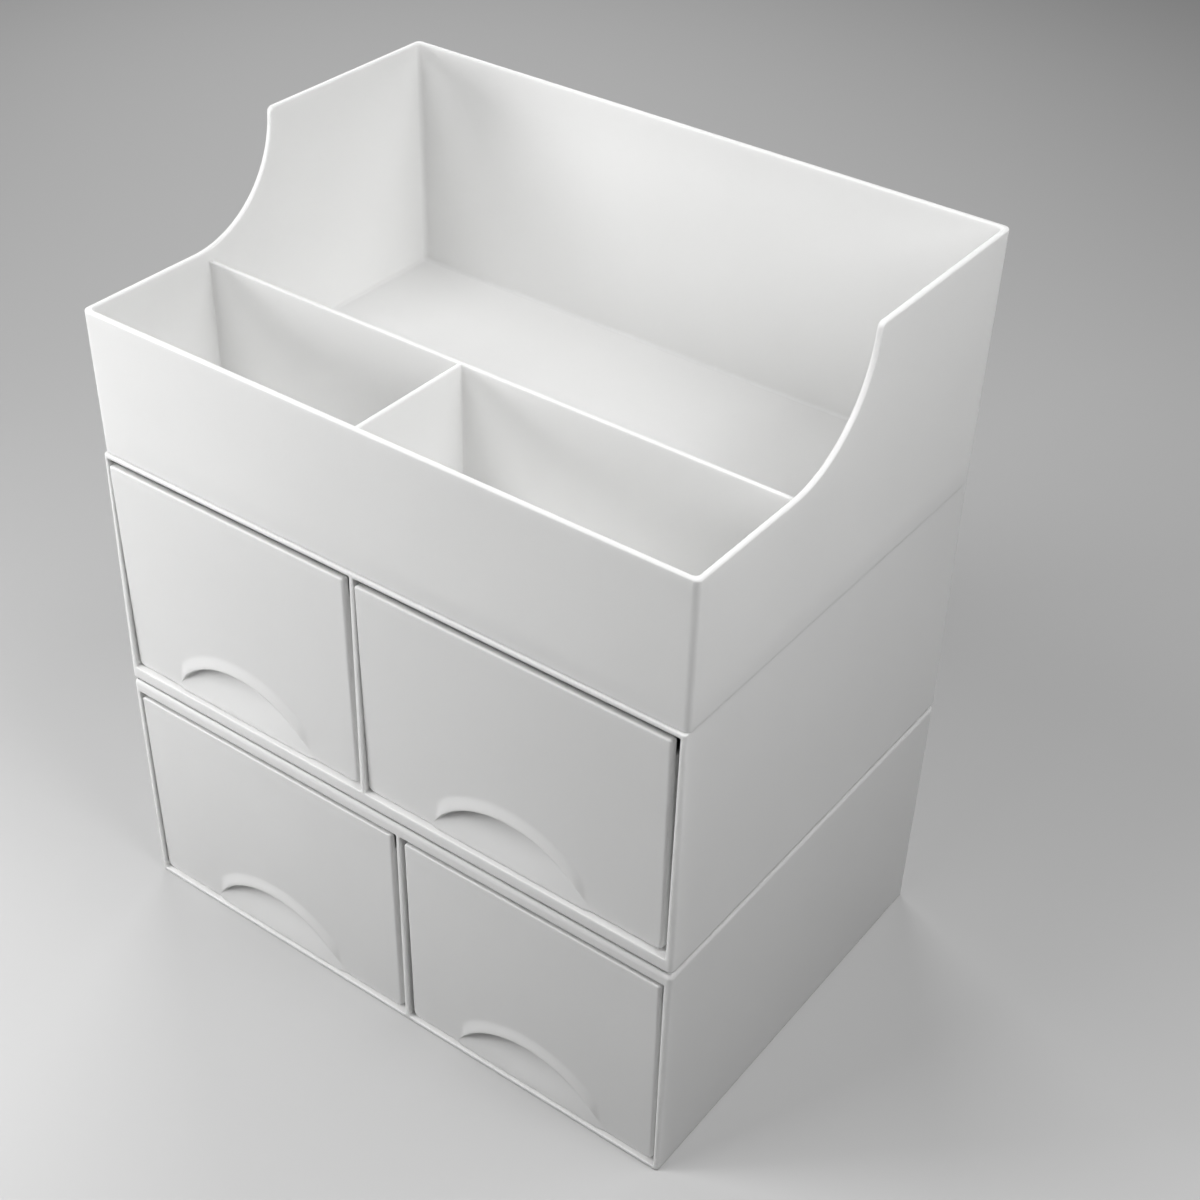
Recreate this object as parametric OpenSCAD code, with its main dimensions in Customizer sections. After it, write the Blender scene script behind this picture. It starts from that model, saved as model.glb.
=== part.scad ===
// Stacking desk unit: two twin-drawer cabinets and a three-compartment top caddy.
// Millimetres. X runs to the right along the front, Y to the back, Z up.
// The origin is the centre of the footprint, on the table. The fronts face -Y.

/* [Cabinet] */
// Width at the wide end of a cabinet
cab_w = 261; // [220:1:300]
// Depth at the wide end of a cabinet
cab_d = 183.6; // [150:0.2:220]
// Height of one cabinet
cab_h = 105.5; // [90:0.5:130]
// Width that the draft takes off between the wide end and the narrow end
draft_w = 2.0; // [0.4:0.1:3]
// Depth that the draft takes off between the wide end and the narrow end
draft_d = 1.2; // [0.4:0.1:3]
// Thickness of the side and back walls at the narrow end
wall = 1.8; // [1.6:0.1:2.4]
// Thickness of the plain panel at the narrow end
panel_t = 1.8; // [1.6:0.1:3]
// Height of the hollow skirt at the wide end, its panel included
skirt_h = 6.2; // [5:0.1:10]
// Thickness of the panel inside the skirt
skirt_panel_t = 2.6; // [1.6:0.1:3.2]
// Thickness of the skirt's walls at its rim
skirt_wall = 3.0; // [2.6:0.1:4]
// Distance of the partition from the middle
partition_x = 8.2; // [0:0.1:16]
// Thickness of the partition
partition_t = 1.6; // [1.6:0.1:3]
// Radius on the upright corners
corner_r = 2.6; // [2.5:0.1:4]
// Radius on the top edge of the lower cabinet
edge_r = 2.4; // [0.8:0.1:2.4]
// Radius on the bottom edge of the upper cabinet
foot_r = 0.8; // [0.8:0.1:2.4]

/* [Drawer] */
// Thickness of a drawer front
front_t = 2.2; // [2:0.1:3]
// Setback of a drawer front's foot behind the cabinet's front edge
setback = 2.1; // [2:0.1:5]
// Distance that a drawer front leans forward at its top
front_lean = 1.5; // [0:0.1:1.6]
// Play between a drawer front and the two sides of its bay
side_play = 3.5; // [2.5:0.1:6]
// Gap at the left of a drawer front
left_gap = 0.5; // [0.4:0.1:1.6]
// Gap at the left of the lower right drawer, which sits further over
shifted_gap = 1.7; // [0.4:0.1:2]
// Gap between a drawer and the panel that it slides on
slide_gap = 0.4; // [0.4:0.1:1]
// Gap above a drawer front
top_gap = 2.8; // [0.6:0.1:10]
// Gap behind a drawer
back_gap = 3.0; // [1:0.5:30]
// Radius on the face edges of a drawer front
front_edge_r = 1.6; // [1:0.1:1.7]
// Radius on the corners of a drawer front
front_corner_r = 2.4; // [2:0.1:8]
// Distance of the tray's rim below the top of the front
tray_drop = 9; // [2:0.5:30]
// Thickness of the tray's walls and floor
tray_t = 1.8; // [1.4:0.1:2.5]
// Inset of the tray's sides from the ends of the front
tray_inset = 0.7; // [0.4:0.1:3]
// Radius on the upright corners at the tray's back
tray_r = 5; // [3:0.5:12]

/* [Handle] */
// Radius of the lip's arch
lip_r = 40; // [36:0.1:42]
// Radius at which the hood leaves the drawer front
hood_r = 45; // [43.5:0.1:48]
// Distance of the arch's centre below the drawer's bottom
arch_drop = 18.2; // [14:0.1:20]
// Projection of the lip in front of the drawer front
hood_out = 1.5; // [1:0.1:1.6]
// Half width of the hood
hood_half = 32.4; // [30:0.1:33]
// Height at which the finger scoop starts
scoop_z = 0.8; // [0.4:0.1:3]
// Height at which the hood's ends stop
hood_z = 4.0; // [3.2:0.1:6]
// Angle of the finger scoop's slope above the horizontal
scoop_angle = 71; // [60:1:75]
// Depth of the finger scoop behind the face of the drawer
scoop_d = 7; // [6:0.5:12]

/* [Caddy] */
// Width at the base of the caddy
caddy_base_w = 259.8; // [220:0.2:300]
// Width at the rim of the caddy
caddy_rim_w = 261.2; // [220:0.2:300]
// Depth at the base of the caddy
caddy_base_d = 181.4; // [150:0.2:220]
// Depth at the rim of the caddy
caddy_rim_d = 183.1; // [150:0.2:220]
// Height of the caddy's back wall
caddy_h = 102; // [80:1:140]
// Height of the caddy's front wall
caddy_front_h = 58.8; // [45:0.1:70]
// Height of the compartments' floor above the caddy's base
caddy_floor_z = 7.9; // [5:0.1:12]
// Thickness of the compartments' floor
caddy_floor_t = 3.0; // [1.6:0.1:4]
// Thickness of the caddy's walls
caddy_wall = 2.2; // [1.8:0.1:3]
// Place of the side walls' scoop centre, front to back
scoop_y = -37.5; // [-50:0.5:-20]
// Place of the long divider, front to back
divider_y = -30.5; // [-45:0.5:-15]
// Place of the cross divider, left to right
divider_x = -8.5; // [-40:0.5:40]
// Height of the dividers' top edge
divider_h = 54.4; // [40:0.1:57]
// Thickness of the dividers
divider_t = 1.8; // [1.4:0.1:2.5]

/* [Hidden] */
$fn = 64;
eps = 0.01;
// The tray reaches this far into the drawer front.
lap = 0.4;
cut = 400;
white = [0.95, 0.95, 0.94];
narrow_w = cab_w - draft_w;
narrow_d = cab_d - draft_d;
face_y = -cab_d / 2;
front_y = face_y + setback;
bay_floor = panel_t;
bay_top = cab_h - skirt_h;
bay_back = narrow_d / 2 - wall;
bay_side = narrow_w / 2 - wall;
partition_left = partition_x - partition_t / 2;
partition_right = partition_x + partition_t / 2;
wide_bay_w = bay_side + partition_left;
narrow_bay_w = bay_side - partition_right;
wide_front_w = wide_bay_w - side_play;
narrow_front_w = narrow_bay_w - side_play;
front_h = bay_top - bay_floor - slide_gap - top_gap;
lean = atan(front_lean / front_h);
tray_h = front_h - tray_drop;
tray_l = bay_back - back_gap - front_y;
rib_h = skirt_h - skirt_panel_t - 0.4;
lower_drawer_z = bay_floor + slide_gap;
upper_drawer_z = cab_h + skirt_h + slide_gap;
caddy_z = 2 * cab_h;
// The caddy's base and rim stand this far behind the middle of the stack.
caddy_base_y = 0.6;
caddy_rim_y = cab_d / 2 - caddy_rim_d / 2;
caddy_scoop_r = caddy_h - caddy_front_h;

// Middle of a drawer front that is w wide and stands a gap away from the left side of its bay.
function front_x(bay_left, w, gap) = bay_left + gap + w / 2;

// Flat rectangle with round corners.
module round_rect(w, d, r) {
    square([w - 2 * r, d], center = true);
    square([w, d - 2 * r], center = true);
    for (sx = [-1, 1], sy = [-1, 1])
        translate([sx * (w / 2 - r), sy * (d / 2 - r)]) circle(r = r);
}

// Section of a slab that is w wide and h high, with its two top edges rounded.
module soft_section(w, h, edge_r) {
    intersection() {
        union() {
            translate([-w / 2, 0]) square([w, h - edge_r]);
            translate([edge_r - w / 2, 0]) square([w - 2 * edge_r, h]);
            for (side = [-1, 1]) translate([side * (w / 2 - edge_r), h - edge_r]) circle(r = edge_r);
        }
        translate([-w / 2, 0]) square([w, h]);
    }
}

// Upright block with round corners and a rounded top edge, standing on z = 0.
module soft_block(w, d, h, r, edge_r) {
    rotate([90, 0, 0]) linear_extrude(height = d - 2 * r, center = true) soft_section(w, h, edge_r);
    rotate([90, 0, 90]) linear_extrude(height = w - 2 * r, center = true) soft_section(d, h, edge_r);
    for (sx = [-1, 1], sy = [-1, 1]) translate([sx * (w / 2 - r), sy * (d / 2 - r), 0])
        rotate_extrude() intersection() {
            soft_section(2 * r, h, edge_r);
            square([r, h]);
        }
}

// Block whose four sides lean outward from its base to its top.
module drafted_block(w0, w1, d0, d1, h, base_y, top_y) {
    intersection() {
        rotate([90, 0, 0]) linear_extrude(height = cut, center = true)
            polygon([[-w0 / 2, 0], [w0 / 2, 0], [w1 / 2, h], [-w1 / 2, h]]);
        rotate([90, 0, 90]) linear_extrude(height = cut, center = true)
            polygon([[base_y - d0 / 2, 0], [base_y + d0 / 2, 0],
                     [top_y + d1 / 2, h], [top_y - d1 / 2, h]]);
    }
}

// Bay for one drawer from x0 to x1, open at the front.
module bay(x0, x1) {
    translate([x0, bay_back - cut, bay_floor]) cube([x1 - x0, cut, bay_top - bay_floor]);
}

// Cabinet standing on its narrow end, with the hollow skirt at the top; rim_r rounds the skirt's edge.
module cabinet(rim_r) {
    color(white) difference() {
        intersection() {
            drafted_block(narrow_w, cab_w, narrow_d, cab_d, cab_h, 0, 0);
            soft_block(cab_w, cab_d, cab_h, corner_r, rim_r);
        }
        bay(-bay_side, partition_left);
        bay(partition_right, bay_side);
        skirt_hollow();
    }
}

// Hollow inside the skirt, with one rib left standing over the partition.
module skirt_hollow() {
    hollow_z = cab_h - skirt_h + skirt_panel_t;
    difference() {
        translate([0, 0, hollow_z]) linear_extrude(height = skirt_h)
            square([cab_w - 2 * skirt_wall, cab_d - 2 * skirt_wall], center = true);
        translate([partition_left, -cut / 2, hollow_z - eps])
            cube([partition_t, cut, rib_h + eps]);
    }
}

// Drawer front panel: its face is at y = 0 and its bottom at z = 0.
module drawer_front(w) {
    translate([0, front_t, front_h / 2]) rotate([90, 0, 0])
        soft_block(w, front_h, front_t, front_corner_r, front_edge_r);
}

// Leans its children forward about the foot of the drawer front.
module leaning() {
    rotate([lean, 0, 0]) children();
}

// Tray behind the leaning front, open at the top.
module drawer_tray(w) {
    outer_w = w - 2 * tray_inset;
    length = tray_l + front_lean;
    intersection() {
        translate([0, tray_l - length / 2, 0]) difference() {
            linear_extrude(height = tray_h) tray_outline(outer_w, length, tray_r);
            translate([0, -tray_t, tray_t]) linear_extrude(height = tray_h)
                tray_outline(outer_w - 2 * tray_t, length, tray_r - tray_t);
        }
        leaning() translate([-cut / 2, front_t - lap, -cut / 2]) cube([cut, cut, cut]);
    }
}

// Plan of the tray, with round corners at the back only.
module tray_outline(w, l, r) {
    round_rect(w, l, r);
    translate([-w / 2, -l / 2]) square([w, l / 2]);
}

// Arch-shaped prism about the handle's axis, from y0 to y1.
module arch(r, y0, y1) {
    translate([0, y1, -arch_drop]) rotate([90, 0, 0]) cylinder(r = r, h = y1 - y0, $fn = 96);
}

// Space above the scoop's slope and in front of its back; grow thickens it into the drawer.
module scoop_space(grow) {
    intersection() {
        translate([0, -grow * sin(scoop_angle), scoop_z - grow * cos(scoop_angle)])
            rotate([scoop_angle, 0, 0]) translate([-cut / 2, -cut / 2, 0]) cube([cut, cut, cut]);
        translate([-cut / 2, -cut / 2, 0]) cube([cut, cut / 2 + scoop_d + grow, cut]);
    }
}

// Finger scoop under the lip, open to the front.
module finger_scoop() {
    intersection() {
        arch(lip_r, -10, scoop_d + 10);
        scoop_space(0);
    }
}

// Wall of the finger scoop inside the tray.
module scoop_wall() {
    intersection() {
        arch(lip_r + tray_t, 0, scoop_d + 10);
        scoop_space(tray_t);
        translate([-cut / 2, 0, 0]) cube([cut, cut, cut]);
    }
}

// Arched hood that leans out from the front to the lip.
module hood() {
    intersection() {
        translate([0, eps, -arch_drop]) rotate([90, 0, 0])
            cylinder(r1 = hood_r, r2 = lip_r + 1, h = hood_out + eps, $fn = 96);
        translate([-hood_half, -hood_out - 1, hood_z])
            cube([2 * hood_half, hood_out + 2, hood_r]);
    }
}

// One-piece drawer with its front, tray and scooped handle.
module drawer(w) {
    color(white) difference() {
        union() {
            leaning() {
                drawer_front(w);
                scoop_wall();
                hood();
            }
            drawer_tray(w);
        }
        leaning() finger_scoop();
    }
}

// Outline of the side walls, seen from the right: low front, scoop, high back.
module caddy_profile() {
    difference() {
        translate([-cut / 2, 0]) square([cut, caddy_h]);
        translate([scoop_y - cut, caddy_front_h]) square([cut, cut]);
        translate([scoop_y, caddy_h]) circle(r = caddy_scoop_r, $fn = 128);
    }
}

// Outer block of the caddy; inset moves its four sides inward.
module caddy_block(inset) {
    drafted_block(caddy_base_w - 2 * inset, caddy_rim_w - 2 * inset,
                  caddy_base_d - 2 * inset, caddy_rim_d - 2 * inset,
                  caddy_h, caddy_base_y, caddy_rim_y);
}

// Inside of the caddy above its floor, or under it.
module caddy_hollow(z0, z1) {
    intersection() {
        caddy_block(caddy_wall);
        translate([-cut / 2, -cut / 2, z0]) cube([cut, cut, z1 - z0]);
    }
}

// Long divider and cross divider of the caddy.
module caddy_dividers() {
    intersection() {
        caddy_block(caddy_wall / 2);
        union() {
            translate([-cut / 2, divider_y - divider_t / 2, caddy_floor_z - eps])
                cube([cut, divider_t, divider_h - caddy_floor_z + eps]);
            translate([divider_x - divider_t / 2, divider_y - cut, caddy_floor_z - eps])
                cube([divider_t, cut, divider_h - caddy_floor_z + eps]);
        }
    }
}

// Top caddy with three compartments.
module top_caddy() {
    color(white) {
        difference() {
            intersection() {
                caddy_block(0);
                linear_extrude(height = caddy_h) translate([0, cab_d / 2 - caddy_rim_d / 2])
                    round_rect(caddy_rim_w, caddy_rim_d, corner_r);
                rotate([90, 0, 90]) linear_extrude(height = cut, center = true) caddy_profile();
            }
            caddy_hollow(caddy_floor_z, caddy_h + 1);
            caddy_hollow(-1, caddy_floor_z - caddy_floor_t);
        }
        caddy_dividers();
    }
}

module lower_cabinet() {
    cabinet(edge_r);
}

// The upper cabinet is the same shell with a sharper rim, standing on its wide end.
module upper_cabinet() {
    translate([0, 0, 2 * cab_h]) rotate([0, 180, 0]) cabinet(foot_r);
}

module drawer_lower_left() {
    translate([front_x(-bay_side, wide_front_w, left_gap), front_y, lower_drawer_z]) drawer(wide_front_w);
}

module drawer_lower_right() {
    x = front_x(partition_right, narrow_front_w, shifted_gap);
    translate([x, front_y, lower_drawer_z]) drawer(narrow_front_w);
}

module drawer_upper_left() {
    translate([front_x(-bay_side, narrow_front_w, left_gap), front_y, upper_drawer_z]) drawer(narrow_front_w);
}

module drawer_upper_right() {
    x = front_x(-partition_left, wide_front_w, left_gap);
    translate([x, front_y, upper_drawer_z]) drawer(wide_front_w);
}

lower_cabinet();
upper_cabinet();
translate([0, 0, caddy_z]) top_caddy();
drawer_lower_left();
drawer_lower_right();
drawer_upper_left();
drawer_upper_right();
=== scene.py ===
"""Looks of the white stacking desk unit: two twin-drawer cabinets and a top caddy.

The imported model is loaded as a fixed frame. Every moulding is built here again with
soft edges, fillets and a smooth handle, in the place of its CAD node, and gets a
procedural white plastic finish. The pieces' sizes are in millimetres. The lamps, the
floor and the camera are placed in metres, in the frame of the CAD model.
"""

import logging
import math
from dataclasses import dataclass, field
from enum import Enum
from typing import Callable, Iterable, Sequence

import bmesh
import bpy
from mathutils import Matrix, Vector

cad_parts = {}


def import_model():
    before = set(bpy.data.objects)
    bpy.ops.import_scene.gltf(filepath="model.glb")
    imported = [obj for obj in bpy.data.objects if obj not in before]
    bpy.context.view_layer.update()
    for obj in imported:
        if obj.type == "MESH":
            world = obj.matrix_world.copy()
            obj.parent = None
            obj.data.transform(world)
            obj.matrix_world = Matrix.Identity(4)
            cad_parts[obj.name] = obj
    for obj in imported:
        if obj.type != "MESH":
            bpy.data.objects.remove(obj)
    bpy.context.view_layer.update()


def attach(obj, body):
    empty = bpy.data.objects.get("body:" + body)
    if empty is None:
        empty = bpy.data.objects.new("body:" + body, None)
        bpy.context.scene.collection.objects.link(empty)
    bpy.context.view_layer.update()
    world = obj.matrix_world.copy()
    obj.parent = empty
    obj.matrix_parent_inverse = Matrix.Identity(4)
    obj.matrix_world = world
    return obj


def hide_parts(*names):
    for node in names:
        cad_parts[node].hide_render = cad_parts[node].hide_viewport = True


LOG = logging.getLogger("desk_unit")
MM = 0.001
SHARP_ANGLE = 48  # degrees between two faces, from which their edge is rounded
CLEAR = 5.0  # distance by which a cutter stands out of what it cuts
QUARTER = (0.0, 22.5, 45.0, 67.5, 90.0)  # directions of the points of a rounding, in degrees
SCOOP_ROWS = 12  # rows of points between the foot and the lip of a finger scoop
HOOD_ROWS = 7  # rows of points across the hood over it
HANDLE_MARGIN = 3.0  # width of the band beyond the hood that belongs to the handle's rows
ROUND_SHARE = 0.35  # largest radius of the lip's roundings as a share of the lip's height over the scoop
Point = tuple[float, float, float]
Flat = tuple[float, float]


class Combine(Enum):
    """How a second solid acts on the first."""

    TAKE_AWAY = "DIFFERENCE"
    JOIN = "UNION"


class Side(Enum):
    """Side of a cabinet's partition on which a drawer bay lies."""

    LEFT = -1
    RIGHT = 1


def lerp(a: float, b: float, t: float) -> float:
    """Value at share t of the way from a to b."""
    return a + (b - a) * t


def ease(t: float) -> float:
    """Smooth step from 0 to 1 with t held between 0 and 1."""
    t = min(1.0, max(0.0, t))
    return t * t * (3 - 2 * t)


# ---------------------------------------------------------------- mesh tools


class Solid:
    """A closed mesh that is cut, joined and softened in steps. Sizes are in millimetres."""

    def __init__(self, name: str, points: Iterable[Point], faces: Iterable[Sequence[int]]) -> None:
        """Makes the object from points and faces.

        Args:
            name: name of the Blender object.
            points: corners in millimetres.
            faces: corner numbers of each face.
        """
        mesh = bpy.data.meshes.new(name)
        scaled = [tuple(c * MM for c in p) for p in points]
        mesh.from_pydata(scaled, [], [tuple(f) for f in faces])
        self.obj = bpy.data.objects.new(name, mesh)
        bpy.context.scene.collection.objects.link(self.obj)
        self._edit(lambda bm: bmesh.ops.recalc_face_normals(bm, faces=bm.faces[:]))

    def _edit(self, change: Callable[[bmesh.types.BMesh], object]) -> None:
        """Runs one change on the mesh."""
        bm = bmesh.new()
        bm.from_mesh(self.obj.data)
        change(bm)
        bm.to_mesh(self.obj.data)
        bm.free()
        self.obj.data.update()

    def _settle(self) -> None:
        """Puts the result of the modifiers into the mesh and removes them."""
        graph = bpy.context.evaluated_depsgraph_get()
        mesh = bpy.data.meshes.new_from_object(self.obj.evaluated_get(graph))
        old = self.obj.data
        self.obj.modifiers.clear()
        self.obj.data = mesh
        bpy.data.meshes.remove(old)
        mesh.name = self.obj.name

    def combine(self, other: "Solid", how: Combine) -> None:
        """Cuts with another solid or joins it, and removes that solid.

        Args:
            other: the second solid.
            how: whether it is taken away or joined.
        """
        step = self.obj.modifiers.new("combine", "BOOLEAN")
        step.operation = how.value
        step.object = other.obj
        step.solver = "EXACT"
        self._settle()
        bpy.data.objects.remove(other.obj)
        self._edit(lambda bm: bmesh.ops.dissolve_degenerate(bm, dist=1e-6, edges=bm.edges[:]))

    def soften(self, rule: Callable[[bmesh.types.BMEdge], float], widest: float, steps: int = 3) -> None:
        """Rounds the sharp edges, each by the radius that rule gives.

        Args:
            rule: radius of an edge in millimetres, 0 to keep it sharp.
            widest: largest radius that rule can give.
            steps: number of facets across a rounding.
        """

        def mark(bm: bmesh.types.BMesh) -> None:
            """Writes the radius of each sharp edge as its weight."""
            layer = bm.edges.layers.float.new("bevel_weight_edge")
            for edge in bm.edges:
                if len(edge.link_faces) == 2 and edge.calc_face_angle() > math.radians(SHARP_ANGLE):
                    edge[layer] = rule(edge) / widest

        self._edit(mark)
        step = self.obj.modifiers.new("soft_edges", "BEVEL")
        step.limit_method = "WEIGHT"
        step.width = widest * MM
        step.segments = steps
        step.use_clamp_overlap = False
        step.miter_outer = "MITER_SHARP"
        self._settle()

    def shade(self, angle: float = 38) -> bpy.types.Object:
        """Shades the mesh smooth between its creases, with flat faces kept flat.

        Args:
            angle: creases sharper than this many degrees stay sharp.

        Returns:
            The Blender object.
        """
        self._edit(lambda bm: bmesh.ops.dissolve_degenerate(bm, dist=1e-6, edges=bm.edges[:]))
        mesh = self.obj.data
        mesh.shade_smooth()
        mesh.set_sharp_from_angle(angle=math.radians(angle))
        step = self.obj.modifiers.new("even_normals", "WEIGHTED_NORMAL")
        step.keep_sharp = True
        step.weight = 80
        self._settle()
        return self.obj

    def turn(self, matrix: Matrix) -> None:
        """Moves the mesh by a matrix in metres."""
        self.obj.data.transform(matrix)


def ring(half_w: float, half_d: float, radius: float, z: float, y: float = 0.0,
         steps: int = 5) -> list[Point]:
    """Corner points of a level rectangle with round corners, anticlockwise from above.

    Args:
        half_w: half width.
        half_d: half depth.
        radius: corner radius.
        z: height.
        y: place of its middle, front to back.
        steps: facets per corner.

    Returns:
        The points of the ring.
    """
    points: list[Point] = []
    for quarter, (sx, sy) in enumerate(((1, 1), (-1, 1), (-1, -1), (1, -1))):
        for i in range(steps + 1):
            a = math.radians(90 * (quarter + i / steps))
            points.append((sx * (half_w - radius) + radius * math.cos(a),
                           y + sy * (half_d - radius) + radius * math.sin(a), z))
    return points


def loft(name: str, rings: Sequence[Sequence[Point]]) -> Solid:
    """Closed solid through a stack of rings with equal numbers of points.

    Args:
        name: name of the object.
        rings: rings from bottom to top.

    Returns:
        The solid, with flat ends.
    """
    n = len(rings[0])
    points = [p for level in rings for p in level]
    last = (len(rings) - 1) * n
    faces: list[Sequence[int]] = [tuple(reversed(range(n))), tuple(range(last, last + n))]
    for k in range(len(rings) - 1):
        for i in range(n):
            j = (i + 1) % n
            faces.append((k * n + i, k * n + j, (k + 1) * n + j, (k + 1) * n + i))
    return Solid(name, points, faces)


def slab(name: str, outline: Sequence[Flat], lo: float, hi: float,
         place: Callable[[float, float, float], Point]) -> Solid:
    """Flat outline pulled from lo to hi along the axis that place leaves free.

    Args:
        name: name of the object.
        outline: corners of the outline.
        lo: start of the pull.
        hi: end of the pull.
        place: makes a point from two outline values and the pull.

    Returns:
        The solid.
    """
    return loft(name, [[place(a, b, t) for a, b in outline] for t in (lo, hi)])


def block(name: str, low: Point, high: Point) -> Solid:
    """Plain cutter block between two corners."""
    outline = [(low[0], low[1]), (high[0], low[1]), (high[0], high[1]), (low[0], high[1])]
    return slab(name, outline, low[2], high[2], lambda a, b, t: (a, b, t))


# ---------------------------------------------------------------- finishes


@dataclass(frozen=True)
class MouldedPlastic:
    """White moulded plastic: satin, with a fine grain and faint flow clouds.

    Attributes:
        name: name of the material.
        tint: colour of the plastic.
        roughness: mean roughness.
        sheen: change of the roughness to either side of its mean.
        grain: strength of the fine surface grain.
        grain_depth: depth of the grain in millimetres.
        clouds: contrast of the large tone clouds.
        cloud_scale: number of clouds over a metre.
        sheen_scale: number of sheen patches over a metre.
        grain_scale: number of grains over a metre.
        glow: distance in millimetres over which light spreads inside the plastic.
        seed: offset of the patterns, so that pieces differ.
    """

    name: str
    tint: Point = (0.80, 0.80, 0.795)
    roughness: float = 0.42
    sheen: float = 0.05
    grain: float = 0.10
    grain_depth: float = 0.06
    clouds: float = 0.02
    cloud_scale: float = 14.0
    sheen_scale: float = 35.0
    grain_scale: float = 2600.0
    glow: float = 2.5
    seed: float = 0.0

    def make(self) -> bpy.types.Material:
        """Builds the node material.

        Returns:
            The material.
        """
        material = bpy.data.materials.new(self.name)
        material.use_nodes = True
        tree = material.node_tree
        shader = tree.nodes["Principled BSDF"]
        place = tree.nodes.new("ShaderNodeTexCoord").outputs["Object"]
        self._colour(tree, place, shader)
        self._surface(tree, place, shader)
        shader.inputs["IOR"].default_value = 1.49
        shader.inputs["Specular IOR Level"].default_value = 0.45
        shader.inputs["Subsurface Weight"].default_value = 1.0
        shader.inputs["Subsurface Radius"].default_value = (1.0, 1.0, 1.0)
        shader.inputs["Subsurface Scale"].default_value = self.glow * MM
        return material

    def _noise(self, tree: bpy.types.NodeTree, place: bpy.types.NodeSocket, scale: float,
               detail: float) -> bpy.types.Node:
        """Noise pattern of the given scale, shifted by the seed."""
        shift = tree.nodes.new("ShaderNodeVectorMath")
        shift.operation = "ADD"
        shift.inputs[1].default_value = (self.seed, self.seed * 0.7, self.seed * 1.3)
        noise = tree.nodes.new("ShaderNodeTexNoise")
        noise.inputs["Scale"].default_value = scale
        noise.inputs["Detail"].default_value = detail
        tree.links.new(place, shift.inputs[0])
        tree.links.new(shift.outputs[0], noise.inputs["Vector"])
        return noise

    def _colour(self, tree: bpy.types.NodeTree, place: bpy.types.NodeSocket, shader: bpy.types.Node) -> None:
        """Gives the plastic its colour with faint flow clouds."""
        noise = self._noise(tree, place, self.cloud_scale, 3.0)
        ramp = tree.nodes.new("ShaderNodeValToRGB")
        ramp.color_ramp.elements[0].position = 0.35
        ramp.color_ramp.elements[1].position = 0.65
        low = tuple(c * (1 - self.clouds) for c in self.tint)
        ramp.color_ramp.elements[0].color = (*low, 1)
        ramp.color_ramp.elements[1].color = (*self.tint, 1)
        tree.links.new(noise.outputs["Fac"], ramp.inputs["Fac"])
        tree.links.new(ramp.outputs["Color"], shader.inputs["Base Color"])

    def _surface(self, tree: bpy.types.NodeTree, place: bpy.types.NodeSocket, shader: bpy.types.Node) -> None:
        """Gives the plastic its sheen variation and fine grain."""
        patches = self._noise(tree, place, self.sheen_scale, 2.0)
        spread = tree.nodes.new("ShaderNodeMapRange")
        spread.inputs["To Min"].default_value = self.roughness - self.sheen
        spread.inputs["To Max"].default_value = self.roughness + self.sheen
        tree.links.new(patches.outputs["Fac"], spread.inputs["Value"])
        tree.links.new(spread.outputs["Result"], shader.inputs["Roughness"])
        fine = self._noise(tree, place, self.grain_scale, 2.0)
        bump = tree.nodes.new("ShaderNodeBump")
        bump.inputs["Strength"].default_value = self.grain
        bump.inputs["Distance"].default_value = self.grain_depth * MM
        tree.links.new(fine.outputs["Fac"], bump.inputs["Height"])
        tree.links.new(bump.outputs["Normal"], shader.inputs["Normal"])


# ---------------------------------------------------------------- mouldings


@dataclass
class Moulding:
    """One moulded piece that takes the place of a CAD node.

    Attributes:
        node: name of the CAD node and of its body.
        finish: the plastic it is made of.
    """

    node: str
    finish: MouldedPlastic

    def build(self) -> bpy.types.Object:
        """Makes the mesh of the piece, in place."""
        raise NotImplementedError

    def dress(self, piece: bpy.types.Object) -> None:
        """Gives the piece its finish and hangs it on its body.

        Args:
            piece: the built object.
        """
        piece.data.materials.clear()
        piece.data.materials.append(self.finish.make())
        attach(piece, self.node)
        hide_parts(self.node)


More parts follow.
